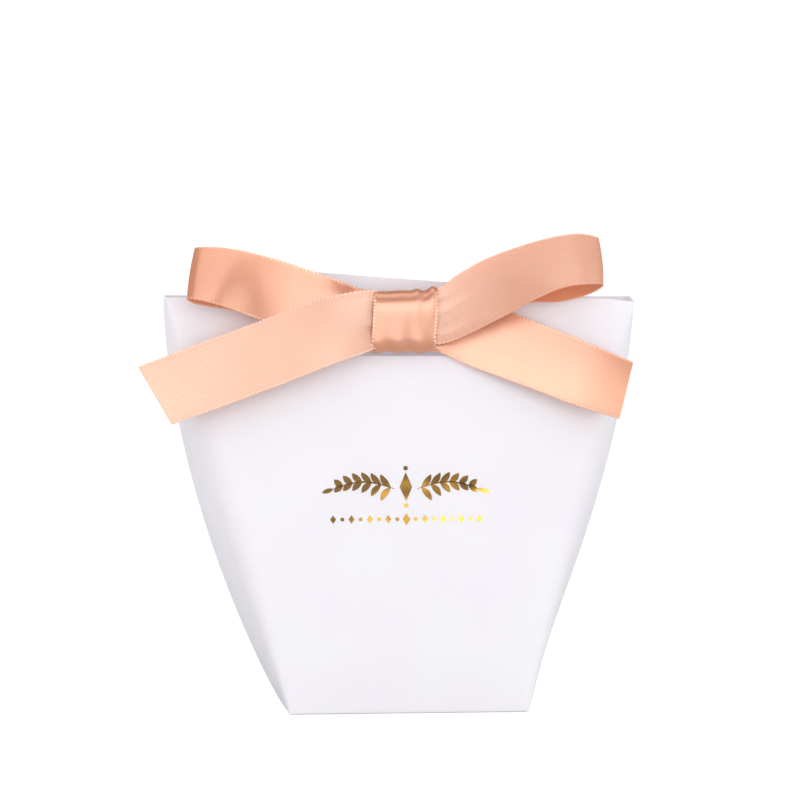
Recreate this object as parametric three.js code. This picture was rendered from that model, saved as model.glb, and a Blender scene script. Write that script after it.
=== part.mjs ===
// Tapered paper gift bag of folded board, with a satin ribbon bow tied through a slot at its top edge.
// Millimetres, +Z up, the bow faces -Y. The origin is the middle of the base, on the surface it stands on.
import * as THREE from 'three';

// Driving sizes of the bag
const board = 0.45; // thickness of the folded board
const clearance = 0.3; // gap between pieces that touch
const topWidth = 135;
const baseWidth = 67.5;
const baseDepth = 67.5;
const mouthDepth = 9;
const bagHeight = 114.5;
const sideBulge = 6.1; // how far the sides swell out at half height

// Driving sizes of the flaps, the tab and the slots
const slotWidth = 46;
const slotHeight = 10.7;
const slotBelowTop = 6; // strip of board between the slot and the top edge
const tabWidth = 64;
const tabRiseLeft = 7.8;
const tabRiseRight = 2.7;
const tabCorner = 2;
const tuckLength = 12;
const tuckInset = 4;
const dustLength = 22;
const dustTaper = 5;
const glueWidth = 11;

// Driving sizes of the ribbon and its bow
const ribbonWidth = 19;
const ribbonThickness = 0.45;
const knotWidth = 18.2;
const knotHeight = 18.4;
const knotDepth = 5.6;
const knotCorner = 2.2;
const gatheredWidth = 16.2; // the ribbon's width where the knot gathers it
const wrapWidth = 17.4;
const knotAboveTop = 2.9; // the knot's top stands this far over the bag's edge

// Sizes that follow
const wallReach = (baseDepth - mouthDepth) / 2;
const slant = Math.hypot(bagHeight, wallReach);
const lean = Math.atan2(wallReach, bagHeight);
const boardAcross = board / Math.cos(lean); // the board's thickness measured along Y
const flapLayer = board + clearance; // rise from one base flap to the next
const wallStart = (flapLayer + board * Math.sin(lean)) / Math.cos(lean);
const innerFace = -board;
const innerLayer = -(board + clearance);
const knotCentre = slant + knotAboveTop - knotHeight / 2;
const knotBack = ribbonThickness + 2 * clearance;
const knotEdge = knotWidth / 2 + 2 * clearance; // where the ribbon comes free beside the knot

const paper = { color: 0xf4f3f5, roughness: 0.85, metalness: 0 };
const satin = { color: 0xf0b592, roughness: 0.45, metalness: 0 };

const halfWidth = (z) => (baseWidth + ((topWidth - baseWidth) * z) / bagHeight) / 2;
const halfWidthOnSlant = (v) => halfWidth(v * Math.cos(lean));
const halfDepth = (z) => (baseDepth - ((baseDepth - mouthDepth) * z) / bagHeight) / 2;

function piece(name, geometry, finish) {
  const mesh = new THREE.Mesh(geometry, new THREE.MeshStandardMaterial(finish));
  mesh.name = name;
  return mesh;
}

// A flat piece of board cut to an outline, its outer face at height w of the wall it belongs to
function flatBoard(shape, w = 0) {
  const geometry = new THREE.ExtrudeGeometry(shape, { depth: board, bevelEnabled: false, curveSegments: 10 });
  return geometry.translate(0, 0, w - board);
}

function outline(points) {
  return new THREE.Shape(points.map(([x, y]) => new THREE.Vector2(x, y)));
}

// A closed skin over a grid of section points: sections[i][j], where j goes once round the section
function closedTube(sections) {
  const round = sections[0].length;
  const positions = sections.flat().flatMap((p) => [p.x, p.y, p.z]);
  const faces = [];
  for (let i = 0; i + 1 < sections.length; i += 1) {
    for (let j = 0; j < round; j += 1) {
      const a = i * round + j;
      const b = i * round + ((j + 1) % round);
      faces.push(a, b, b + round, a, b + round, a + round);
    }
  }
  const last = (sections.length - 1) * round;
  for (let j = 1; j + 1 < round; j += 1) {
    faces.push(0, j + 1, j);
    faces.push(last, last + j, last + j + 1);
  }
  return facingOut(positions, faces);
}

// Turns the faces round if the signed volume that they enclose is negative
function facingOut(positions, faces) {
  let volume = 0;
  const corner = (k) => new THREE.Vector3(positions[3 * k], positions[3 * k + 1], positions[3 * k + 2]);
  for (let f = 0; f < faces.length; f += 3) {
    volume += corner(faces[f]).dot(corner(faces[f + 1]).cross(corner(faces[f + 2])));
  }
  const turned = volume < 0 ? faces.slice().reverse() : faces;
  const geometry = new THREE.BufferGeometry();
  geometry.setAttribute('position', new THREE.Float32BufferAttribute(positions, 3));
  geometry.setIndex(turned);
  geometry.computeVertexNormals();
  return geometry;
}

// Large panels: a trapezoid, wide at the mouth, with a round-ended slot under its top edge
function panelShape() {
  const shape = outline([
    [-halfWidthOnSlant(wallStart), wallStart],
    [halfWidthOnSlant(wallStart), wallStart],
    [halfWidthOnSlant(slant), slant],
    [-halfWidthOnSlant(slant), slant],
  ]);
  const r = slotHeight / 2;
  const middle = slant - slotBelowTop - r;
  const reach = slotWidth / 2 - r;
  const slot = new THREE.Path();
  slot.absarc(reach, middle, r, -Math.PI / 2, Math.PI / 2, false);
  slot.absarc(-reach, middle, r, Math.PI / 2, (3 * Math.PI) / 2, false);
  slot.closePath();
  shape.holes.push(slot);
  return shape;
}

// The tab on the back panel's top edge, cut askew, with rounded free corners
function tabShape() {
  const foot = slant + clearance;
  const left = tabWidth / 2; // the back wall's own x runs the other way
  const topLeft = slant + tabRiseLeft;
  const topRight = slant + tabRiseRight;
  const shape = new THREE.Shape();
  shape.moveTo(left, foot);
  shape.lineTo(left, topLeft - tabCorner);
  shape.quadraticCurveTo(left, topLeft, left - tabCorner, topLeft);
  shape.lineTo(-left + tabCorner, topRight);
  shape.quadraticCurveTo(-left, topRight, -left, topRight - tabCorner / 2);
  shape.lineTo(-left, foot);
  return shape;
}

// The glued seam: a strip along the crease inside the back panel
function glueShape() {
  const from = wallStart + 3;
  const to = slant - 2;
  const outer = 2 * clearance + board;
  return outline([
    [-halfWidthOnSlant(from) + outer, from],
    [-halfWidthOnSlant(from) + outer + glueWidth, from + 3],
    [-halfWidthOnSlant(to) + outer + glueWidth, to - 3],
    [-halfWidthOnSlant(to) + outer, to],
  ]);
}

// The tongue of the base, tucked up behind the front panel
function tuckShape() {
  const from = wallStart + flapLayer + clearance;
  const foot = baseWidth / 2 - tuckInset;
  return outline([
    [-foot, from],
    [foot, from],
    [foot, from + tuckLength / 2],
    [foot - tuckInset, from + tuckLength],
    [-foot + tuckInset, from + tuckLength],
    [-foot, from + tuckLength / 2],
  ]);
}

// A dust flap under the sweets, folded in from the foot of one side; side is -1 left, 1 right
function dustFlap(side) {
  const edge = baseWidth / 2 - board - clearance;
  const reach = baseDepth / 2 - boardAcross - 2 * clearance;
  const shape = outline([
    [side * edge, -reach],
    [side * edge, reach],
    [side * (edge - dustLength), reach - dustTaper],
    [side * (edge - dustLength), -reach + dustTaper],
  ]);
  const geometry = new THREE.ExtrudeGeometry(shape, { depth: board, bevelEnabled: false });
  return geometry.translate(0, 0, flapLayer);
}

// Half of one side, from a crease of a large panel to the soft fold down the side's middle.
// Its outer face swells out from the straight crease by a quarter sine across and a parabola upwards.
function sideHalf(side, front) {
  const rows = 14;
  const columns = 6;
  const outer = (u, t) => {
    const z = flapLayer + (bagHeight - flapLayer) * t;
    const deep = halfDepth(z);
    const y = THREE.MathUtils.lerp(deep - boardAcross - clearance, clearance / 2, u);
    const q = 1 - y / deep;
    const rise = z / bagHeight;
    const swell = sideBulge * 4 * rise * (1 - rise) * (0.85 * Math.sin((q * Math.PI) / 2) + 0.15 * q);
    return new THREE.Vector3(side * (halfWidth(z) + swell), front * y, z);
  };
  const normal = (u, t) => {
    const step = 1e-3;
    const across = outer(u + step, t).sub(outer(u - step, t));
    const upward = outer(u, t + step).sub(outer(u, t - step));
    return across.cross(upward).normalize().multiplyScalar(-side * front);
  };
  const sections = [];
  for (let i = 0; i <= rows; i += 1) {
    const outside = [];
    const inside = [];
    for (let j = 0; j <= columns; j += 1) {
      const point = outer(j / columns, i / rows);
      const inward = normal(j / columns, i / rows).multiplyScalar(-board);
      inward.y = 0;
      inward.z = 0;
      outside.push(point);
      inside.push(point.clone().add(inward));
    }
    sections.push([...outside, ...inside.reverse()]);
  }
  return closedTube(sections);
}

// Ribbon with thickness, carried through stations in the front wall's frame.
// A station is [x, v, w, lean, tilt, width]: its middle, how far its width leans sideways and back, in degrees.
function ribbonThrough(stations, steps) {
  const edge = (sign) => new THREE.CatmullRomCurve3(stations.map(([x, v, w, leaned, tilted, width]) => {
    const a = THREE.MathUtils.degToRad(leaned);
    const b = THREE.MathUtils.degToRad(tilted);
    const across = new THREE.Vector3(Math.sin(a) * Math.cos(b), Math.cos(a) * Math.cos(b), Math.sin(b));
    return new THREE.Vector3(x, v, w).addScaledVector(across, (sign * width) / 2);
  }), false, 'centripetal');
  const upper = edge(1);
  const lower = edge(-1);
  const sections = [];
  for (let i = 0; i <= steps; i += 1) {
    const t = i / steps;
    const top = upper.getPoint(t);
    const bottom = lower.getPoint(t);
    const along = upper.getTangent(t).add(lower.getTangent(t));
    const off = along.cross(top.clone().sub(bottom)).normalize().multiplyScalar(ribbonThickness / 2);
    sections.push([top.clone().add(off), top.clone().sub(off), bottom.clone().sub(off), bottom.clone().add(off)]);
  }
  return closedTube(sections);
}

// A rounded oblong in the v-w plane, drawn on the given path
function oblong(path, [vLow, vHigh, wLow, wHigh], r) {
  path.moveTo(vLow + r, wLow);
  path.lineTo(vHigh - r, wLow);
  path.absarc(vHigh - r, wLow + r, r, -Math.PI / 2, 0, false);
  path.absarc(vHigh - r, wHigh - r, r, 0, Math.PI / 2, false);
  path.absarc(vLow + r, wHigh - r, r, Math.PI / 2, Math.PI, false);
  path.absarc(vLow + r, wLow + r, r, Math.PI, (3 * Math.PI) / 2, false);
  return path;
}

const shrunk = ([vLow, vHigh, wLow, wHigh], by) => [vLow + by, vHigh - by, wLow + by, wHigh - by];

// Carries a v-w outline along x, the same way to both sides of the middle
function alongX(shape, width) {
  const geometry = new THREE.ExtrudeGeometry(shape, { depth: width, bevelEnabled: false, curveSegments: 5 });
  return geometry.translate(0, 0, -width / 2).applyMatrix4(new THREE.Matrix4().set(
    0, 0, 1, 0,
    1, 0, 0, 0,
    0, 1, 0, 0,
    0, 0, 0, 1,
  ));
}

// A flat belt of ribbon round an oblong
function ribbonBelt(width, box, corner) {
  const shape = oblong(new THREE.Shape(), box, corner);
  shape.holes.push(oblong(new THREE.Path(), shrunk(box, ribbonThickness), corner - ribbonThickness));
  return alongX(shape, width);
}

const knotBox = [knotCentre - knotHeight / 2, knotCentre + knotHeight / 2, knotBack, knotBack + knotDepth];
const wrapBox = shrunk([slant - slotBelowTop, slant, innerFace, 0], -(clearance + ribbonThickness));

// The flattened ribbon that the knot squeezes, one block of layers
function knotCore() {
  const inset = ribbonThickness + clearance;
  return alongX(oblong(new THREE.Shape(), shrunk(knotBox, inset), knotCorner - inset), knotWidth - 4 * clearance);
}

// Stations of a loop or tail, [out, v, w, lean, tilt, share]: out is counted from the knot's edge away from it,
// v from the knot's middle, and share is the part of the ribbon's width that shows, less where it is gathered.
// They are drawn for ribbon 19 mm wide and grow with it. side is -1 left of the knot, 1 right of it.
function besideKnot(side, rows) {
  const grown = ribbonWidth / 19;
  return rows.map(([out, v, w, leaned, tilted, share = 1]) => [
    side * (knotEdge + out * grown), knotCentre + v * grown, w * grown, leaned, tilted, share * ribbonWidth,
  ]);
}

const gathered = gatheredWidth / ribbonWidth;

function leftTail() {
  return ribbonThrough(besideKnot(-1, [
    [0, -0.4, 5.3, 4, -3, gathered],
    [8.9, -2.9, 6, -7, -6, 0.98],
    [18.3, -6.6, 6.8, -14, -4],
    [30.3, -11.2, 7.2, -16, -2],
    [46.9, -17.4, 7.2, -20, -3],
    [61.3, -22.8, 7.4, -29, -6],
  ]), 20);
}

function leftLoop() {
  return ribbonThrough(besideKnot(-1, [
    [0, -0.1, 3.6, 3, -2, gathered],
    [17, 4, 3.1, 20, -8],
    [30.3, 8.5, 3.9, 19, -13],
    [43.3, 11.7, 5.6, 12, -21],
    [50.9, 12.8, 4.2, 10, -26],
    [48.5, 12.4, 1.6, 12, -24],
    [35.3, 10.5, 0.3, 17, -20],
    [20.3, 5.3, 0.9, 20, -12],
    [8.3, 2.1, 1.6, 12, -5, 0.95],
    [0, -0.1, 1.9, 3, -1, gathered],
  ]), 44);
}

function rightLoop() {
  return ribbonThrough(besideKnot(1, [
    [0, 0.1, 5.1, -2, -5, gathered],
    [14.7, 7.6, 6.3, -19, -21],
    [23.9, 11.8, 7.5, -15, -28],
    [33.9, 15.2, 8.5, -9, -32],
    [42, 16.3, 8.3, -3, -31],
    [47.3, 16.1, 5.4, 3, -30],
    [43.9, 15.3, 2, 0, -27],
    [34.3, 13.4, 0.9, -8, -22],
    [22.3, 11.8, 1.7, -15, -28],
    [10.3, 5.6, 3.1, -14, -17, 0.97],
    [0, 0.1, 3.6, -2, -1, gathered],
  ]), 46);
}

const tailBend = [24.3, -9.4, 2.4, 23.5, -5.5]; // where the right tail is clear of its loop, and lifts

function rightTailRoot() {
  return ribbonThrough(besideKnot(1, [
    [0, -0.5, 1.95, 3, 0, gathered],
    [5.3, -2, 1.75, 14, 0, 0.94],
    [11.8, -4.3, 1.7, 22, -1],
    [tailBend[0] - clearance, ...tailBend.slice(1)],
  ]), 9);
}

function rightTail() {
  return ribbonThrough(besideKnot(1, [
    [tailBend[0] + clearance, ...tailBend.slice(1)],
    [31, -12.1, 3, 24, -7.5],
    [41.6, -16.6, 4.3, 25, -9],
    [53.3, -22, 6, 18, -7],
  ]), 12);
}

// A wall leans about its crease at the base; x runs across it, v up its slant and w out of its face
function wall(...children) {
  const group = new THREE.Group();
  group.position.y = -baseDepth / 2;
  group.rotation.x = Math.PI / 2 - lean;
  group.add(...children);
  return group;
}

const frontWall = wall(
  piece('front_panel', flatBoard(panelShape()), paper),
  piece('tuck_flap', flatBoard(tuckShape(), innerLayer), paper),
  piece('ribbon_wrap', ribbonBelt(wrapWidth, wrapBox, ribbonThickness + clearance), satin),
  piece('knot_band', ribbonBelt(knotWidth, knotBox, knotCorner), satin),
  piece('knot_core', knotCore(), satin),
  piece('left_tail', leftTail(), satin),
  piece('left_loop', leftLoop(), satin),
  piece('right_loop', rightLoop(), satin),
  piece('right_tail_root', rightTailRoot(), satin),
  piece('right_tail', rightTail(), satin),
);

const backWall = new THREE.Group();
backWall.rotation.z = Math.PI;
backWall.add(wall(
  piece('back_panel', flatBoard(panelShape()), paper),
  piece('glue_flap', flatBoard(glueShape(), innerLayer), paper),
  piece('closing_tab', flatBoard(tabShape()), paper),
));

const sides = new THREE.Group();
for (const [sideName, side] of [['left', -1], ['right', 1]]) {
  for (const [halfName, front] of [['front', -1], ['back', 1]]) {
    sides.add(piece(`${sideName}_side_${halfName}`, sideHalf(side, front), paper));
  }
}

const base = new THREE.Group();
base.add(piece('base_panel', new THREE.BoxGeometry(baseWidth, baseDepth, board).translate(0, 0, board / 2), paper));
base.add(piece('left_dust_flap', dustFlap(-1), paper));
base.add(piece('right_dust_flap', dustFlap(1), paper));

const bag = new THREE.Group();
bag.add(base, frontWall, backWall, sides);

export default bag;
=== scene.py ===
import math

import bpy
import numpy as np
from mathutils import Matrix, Vector


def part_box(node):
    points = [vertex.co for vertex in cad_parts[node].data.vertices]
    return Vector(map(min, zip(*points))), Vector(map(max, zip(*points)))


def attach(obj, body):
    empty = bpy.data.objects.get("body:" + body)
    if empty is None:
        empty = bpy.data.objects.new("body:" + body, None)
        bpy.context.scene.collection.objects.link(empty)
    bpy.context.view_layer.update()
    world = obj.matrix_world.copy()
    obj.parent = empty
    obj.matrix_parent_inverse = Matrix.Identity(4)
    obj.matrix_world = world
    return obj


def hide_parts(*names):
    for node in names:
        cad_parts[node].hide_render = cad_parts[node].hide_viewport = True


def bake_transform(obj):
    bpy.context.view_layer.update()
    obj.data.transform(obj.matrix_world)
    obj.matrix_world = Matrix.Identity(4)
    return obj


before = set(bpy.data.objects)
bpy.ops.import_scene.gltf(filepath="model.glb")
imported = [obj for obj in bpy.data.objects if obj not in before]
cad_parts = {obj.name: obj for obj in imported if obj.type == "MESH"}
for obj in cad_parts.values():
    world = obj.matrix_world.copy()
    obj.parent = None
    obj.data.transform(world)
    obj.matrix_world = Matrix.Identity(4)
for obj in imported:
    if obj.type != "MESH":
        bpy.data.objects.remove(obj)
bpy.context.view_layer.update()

MM = 0.001


def box_of(node):
    """A CAD node's lowest and highest corners in millimetres."""
    low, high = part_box(node)
    return np.array(low) / MM, np.array(high) / MM


# Sizes of the bag, from the frame
base_low, base_high = box_of("base_panel")
front_low, front_high = box_of("front_panel")
knot_low, knot_high = box_of("knot_band")
tab_low, tab_high = box_of("closing_tab")
BASE_WIDTH, BASE_DEPTH, BOARD = base_high - base_low
TOP_WIDTH = front_high[0] - front_low[0]
BAG_HEIGHT = front_high[2]
MOUTH_DEPTH = 9.0

# How the walls swell: the sides between their creases and at their foot, the large panels as pillow and waves
SIDE_BULGE = 7.4
FOOT_BULGE = 0.9
PANEL_PILLOW = 0.55
PANEL_WAVE = 0.16
PANEL_RIPPLE = 0.09

# The creases' reach into each wall at their ends and between, the sides' soft fold, a dent at one corner
CREASE_SHARP = 0.6
CREASE_SOFT = 4.6
SIDE_FOLD_DEPTH = 0.35
SIDE_FOLD_WIDTH = 1.4
DENT_DEPTH = 0.95
DENT_WIDTH = 5.5
DENT_HEIGHT = 7.0

# The foot: where the walls' first row is, its round crease, and how high the front, back and sides stand
WALL_START = 0.7
FOOT_ROUND = 0.4
FOOT_CORNER = 1.6
FRONT_STANDS = 0.38
BACK_STANDS = 0.03
SIDES_STAND = 0.5

# The slot, and how far from it in radii its round ends bend the grid
SLOT_WIDTH = 46.0
SLOT_HEIGHT = 10.7
SLOT_BELOW_TOP = 6.0
WARP_REACH = 2.2

# The walls' columns: to the slot's round end, along it, over the rest of half a panel, a crease, half a side
SLOT_COLUMNS = 16
SLOT_END_COLUMNS = 8
PANEL_COLUMNS = 16
CREASE_COLUMNS = 8
SIDE_COLUMNS = 20

# The closing tab
TAB_WIDTH = tab_high[0] - tab_low[0]
TAB_RISE_LEFT = 7.8
TAB_RISE_RIGHT = 2.7
TAB_CORNER = 2.0
TAB_OVERLAP = 0.2

# The tongue tucked behind the front panel, the dust flaps and the glued strip
TUCK_LENGTH = 12.0
TUCK_INSET = 4.0
TUCK_W = -BOARD - 0.12
DUST_LENGTH = 22.0
DUST_TAPER = 5.0
DUST_ABOVE_BASE = 0.47
CREASE_INSET = 0.75
GLUE_WIDTH = 11.0

# The foil ornament: its middle across and up the front panel, its sprigs' stems, and its lower row
FOIL_MIDDLE = (0.0, 64.0)
FOIL_THICKNESS = 0.03
STEM_START = 3.2
STEM_LENGTH = 17.4
LEAF_PAIRS = 6
FOIL_DROP = 9.2
ROW_PITCH = 2.6
ROW_MARKS = 8

# The ribbon, the knot and the turn round the strip of board
RIBBON_WIDTH = 19.0
RIBBON_THICKNESS = 0.26
KNOT_WIDTH = knot_high[0] - knot_low[0]
KNOT_HEIGHT = 18.4
KNOT_DEPTH = 5.6
KNOT_BACK = 1.05
KNOT_ABOVE_TOP = 2.9
KNOT_EDGE = KNOT_WIDTH / 2 + 0.6
GATHERED = 16.2 / RIBBON_WIDTH
WRAP_WIDTH = 17.4
RING_COLUMNS = 280
# The rings show their glossy face, with a little of the painted glints on the weave's dots
RING_WEAVE = 1.15

# The picot edge's beads and the weave's dots
BEAD_PITCH = 1.15
BEAD_SAMPLES = 6
DOT_PITCH = 0.9
DOT_ROWS = 1.05

# How the ribbon bends out of flat: a cup across it, pleats at the knot, a slow ripple, a curl beside the knot
CUP = 0.3
CUP_START = 20.0
PLEAT_HEIGHT = 0.42
RIPPLE = 0.12
CURL_MIDDLE = 11.0
CURL_REACH = 7.0

# Sharp edges in degrees, and millimetres for each unit of the threads' map
SHARP_ANGLE = 40
THREADS_UNIT = 10

# What follows from them
WALL_REACH = (BASE_DEPTH - MOUTH_DEPTH) / 2
LEAN = math.atan2(WALL_REACH, BAG_HEIGHT)
SIN_LEAN, COS_LEAN = math.sin(LEAN), math.cos(LEAN)
SLANT = math.hypot(BAG_HEIGHT, WALL_REACH)
SLOT_TOP = SLANT - SLOT_BELOW_TOP
SLOT_FOOT = SLOT_TOP - SLOT_HEIGHT
KNOT_CENTRE = SLANT + KNOT_ABOVE_TOP - KNOT_HEIGHT / 2
HALF_BOARD_IN = np.array([0, -BOARD / 2 * COS_LEAN, -BOARD / 2 * SIN_LEAN])


def half_width(z):
    """Half the front panel's width at height z: a straight taper from the base to the mouth."""
    return (BASE_WIDTH + (TOP_WIDTH - BASE_WIDTH) * z / BAG_HEIGHT) / 2


def half_depth(z):
    """Half the bag's depth at height z: a straight taper from the base to the mouth."""
    return (BASE_DEPTH - (BASE_DEPTH - MOUTH_DEPTH) * z / BAG_HEIGHT) / 2


def on_front(x, v, w):
    """A point of the front wall's frame in the row frame: x across, v up the slant, w out of the face."""
    x, v, w = np.broadcast_arrays(x, v, w)
    y = -BASE_DEPTH / 2 + v * SIN_LEAN - w * COS_LEAN
    return np.stack([x, y, v * COS_LEAN + w * SIN_LEAN], -1)


def on_back(x, v, w):
    """The same frame for the back wall, with x kept as the row frame's own."""
    point = on_front(x, v, w)
    return point * np.array([1, -1, 1])


def bell(distance, width):
    """A bump of height 1 that falls off as a Gaussian over the width."""
    return np.exp(-((distance / width) ** 2))


def stepped(*runs):
    """Places along a line: each run is (start, end, steps), and runs share their ends."""
    parts = [np.linspace(start, end, steps + 1)[:-1] for start, end, steps in runs]
    return np.concatenate([*parts, [runs[-1][1]]])


# Meshes

def grid_faces(rows, columns, closed=False):
    """Quads of a grid of rows by columns, and round to the first column again where it is closed."""
    i, j = np.meshgrid(np.arange(rows - 1), np.arange(columns if closed else columns - 1), indexing="ij")
    a = i * columns + j
    b = i * columns + (j + 1) % columns
    return np.stack([a, b, b + columns, a + columns], -1).reshape(-1, 4)


def normals_of(points, closed=False):
    """Unit normals of a grid: the cross product of the central differences along its two directions."""
    if closed:
        wrapped = np.concatenate([points[:, -1:], points, points[:, :1]], 1)
        across = wrapped[:, 2:] - wrapped[:, :-2]
    else:
        across = np.gradient(points, axis=1)
    normal = np.cross(np.gradient(points, axis=0), across)
    return normal / np.linalg.norm(normal, axis=-1, keepdims=True)


def volume_of(points, faces):
    """Six times the signed volume that the quads enclose."""
    a, b, c, d = (points[faces[:, k]] for k in range(4))
    return np.sum(a * np.cross(b, c)) + np.sum(a * np.cross(c, d))


def shell_of(points, thickness, closed=False, keep=None, start=-0.5, end=0.5):
    """Gives a grid thickness: skins at start and at end times it along the normals, with a rim between.

    keep says which quads are there, and the rim also closes round those that aren't.
    """
    rows, columns = points.shape[:2]
    normal = normals_of(points, closed)
    thick = np.broadcast_to(thickness, (rows, columns))[..., None]
    outer = (points + normal * thick * end).reshape(-1, 3)
    inner = (points + normal * thick * start).reshape(-1, 3)
    quads = grid_faces(rows, columns, closed)
    if keep is not None:
        quads = quads[keep.reshape(-1)]
    edges = np.concatenate([quads[:, [k, (k + 1) % 4]] for k in range(4)])
    _, inverse, counts = np.unique(np.sort(edges, 1), axis=0, return_inverse=True, return_counts=True)
    rim = edges[counts[inverse.reshape(-1)] == 1]
    shift = rows * columns
    sides = np.stack([rim[:, 1], rim[:, 0], rim[:, 0] + shift, rim[:, 1] + shift], -1)
    faces = np.concatenate([quads, quads[:, ::-1] + shift, sides])
    both = np.concatenate([outer, inner])
    if volume_of(both, faces) < 0:
        faces = faces[:, ::-1]
    return both, faces


def piece(name, points, faces, material, body="bag", replaces=(), weave=None):
    """Puts points and quads into a mesh at the origin, smooth but for its sharp edges, and rides it."""
    used, faces = np.unique(faces, return_inverse=True)
    faces = faces.reshape(-1, 4)
    mesh = bpy.data.meshes.new(name)
    mesh.from_pydata((points[used] * MM).tolist(), [], faces.tolist())
    mesh.polygons.foreach_set("use_smooth", np.ones(len(faces), bool))
    mesh.materials.append(material)
    if weave is not None:
        attribute = mesh.attributes.new("weave", "FLOAT_VECTOR", "POINT")
        attribute.data.foreach_set("vector", weave[used].reshape(-1).astype(np.float32))
        corners = weave[used][faces.reshape(-1), :2] / THREADS_UNIT
        threads = mesh.uv_layers.new(name="threads")
        threads.data.foreach_set("uv", corners.reshape(-1).astype(np.float32))
    mesh.update()
    mesh.set_sharp_from_angle(angle=math.radians(SHARP_ANGLE))
    thing = bpy.data.objects.new(name, mesh)
    bpy.context.collection.objects.link(thing)
    if replaces:
        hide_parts(*replaces)
    if body:
        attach(thing, body)
    return thing


# Materials

class Nodes:
    """The node tree of a material or a world, with short ways to add nodes and link them."""

    def __init__(self, holder):
        holder.use_nodes = True
        self.holder = holder
        self.tree = holder.node_tree
        self.shader = self.tree.nodes.get("Principled BSDF")

    def add(self, kind, inputs=(), **settings):
        node = self.tree.nodes.new(kind)
        for key, value in settings.items():
            setattr(node, key, value)
        for key, value in dict(inputs).items():
            self.put(value, node.inputs[key])
        return node

    def put(self, value, socket):
        if isinstance(value, bpy.types.NodeSocket):
            self.tree.links.new(value, socket)
        else:
            socket.default_value = value

    def math(self, operation, a, b=0.0, c=0.0, clamp=False):
        node = self.add("ShaderNodeMath", {0: a, 1: b, 2: c}, operation=operation, use_clamp=clamp)
        return node.outputs[0]

    def scaled(self, vector, scale):
        node = self.add("ShaderNodeVectorMath", {0: vector, 1: scale}, operation="MULTIPLY")
        return node.outputs[0]

    def noise(self, vector, scale, detail=3.0, roughness=0.5):
        inputs = {"Vector": vector, "Scale": scale, "Detail": detail, "Roughness": roughness}
        return self.add("ShaderNodeTexNoise", inputs).outputs["Fac"]

    def between(self, value, low, high):
        """0 below low, 1 above high, smooth in between."""
        inputs = {"Value": value, "From Min": low, "From Max": high}
        return self.add("ShaderNodeMapRange", inputs, interpolation_type="SMOOTHSTEP").outputs[0]

    def mix(self, share, a, b):
        node = self.add("ShaderNodeMix", data_type="RGBA")
        self.put(share, node.inputs[0])
        self.put(a, node.inputs[6])
        self.put(b, node.inputs[7])
        return node.outputs[2]

    def bump(self, height, distance):
        inputs = {"Height": height, "Distance": distance, "Strength": 1.0}
        return self.add("ShaderNodeBump", inputs).outputs[0]

    def finish(self, color, normal=None, **constants):
        self.put(color, self.shader.inputs["Base Color"])
        if normal is not None:
            self.put(normal, self.shader.inputs["Normal"])
        for key, value in constants.items():
            self.put(value, self.shader.inputs[key.replace("_", " ").title().replace("Ior", "IOR")])
        return self.holder

    def let_through(self, share, through):
        """Mixes a share of light that passes through the sheet into the surface."""
        both = self.add("ShaderNodeMixShader", {0: share, 1: self.shader.outputs[0], 2: through.outputs[0]})
        self.put(both.outputs[0], self.tree.nodes["Material Output"].inputs["Surface"])
        return self.holder


def srgb(red, green, blue):
    """A colour of 0 to 255 as the linear values that a socket takes."""
    encoded = np.array([red, green, blue]) / 255
    linear = np.where(encoded <= 0.04045, encoded / 12.92, ((encoded + 0.055) / 1.055) ** 2.4)
    return (*linear.tolist(), 1.0)


# The satin's tones: glossy face, back, painted glints on the weave's dots, picot edge, the groove beside it,
# light let through
GLOSSY_TONES = srgb(226, 157, 119), srgb(233, 168, 130)
GLOSSY_GLINT = srgb(253, 215, 191)
BACK_TONE = srgb(230, 165, 129)
BACK_GLINT = srgb(255, 222, 198)
BACK_GRAIN = srgb(242, 190, 160)
PICOT_TONE = srgb(252, 214, 186)
GROOVE_TONE = srgb(206, 136, 102)
THROUGH_TONE = srgb(255, 220, 194)

# The share of the light that passes through the board and through the satin
BOARD_THROUGH = 0.3
SATIN_THROUGH = 0.4


def board_material():
    """White uncoated board: fine fibre mottling, a tooth that shows up close, a little light let through."""
    n = Nodes(bpy.data.materials.new("white_board"))
    place = n.add("ShaderNodeTexCoord").outputs["Object"]
    fibres = n.noise(n.scaled(place, (1.0, 1.0, 1.8)), 2600.0, 4.0, 0.6)
    clouds = n.noise(place, 45.0, 1.0)
    tone = n.mix(n.between(clouds, 0.25, 0.75), srgb(246, 244, 249), srgb(248, 247, 250))
    tone = n.mix(n.math("MULTIPLY", n.between(fibres, 0.35, 0.75), 0.5), tone, srgb(241, 239, 244))
    tooth = n.bump(fibres, 0.000012)
    through = n.add("ShaderNodeBsdfTranslucent", {"Color": tone, "Normal": tooth})
    n.finish(tone, tooth, roughness=0.72, specular_ior_level=0.3)
    return n.let_through(BOARD_THROUGH, through)


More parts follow.
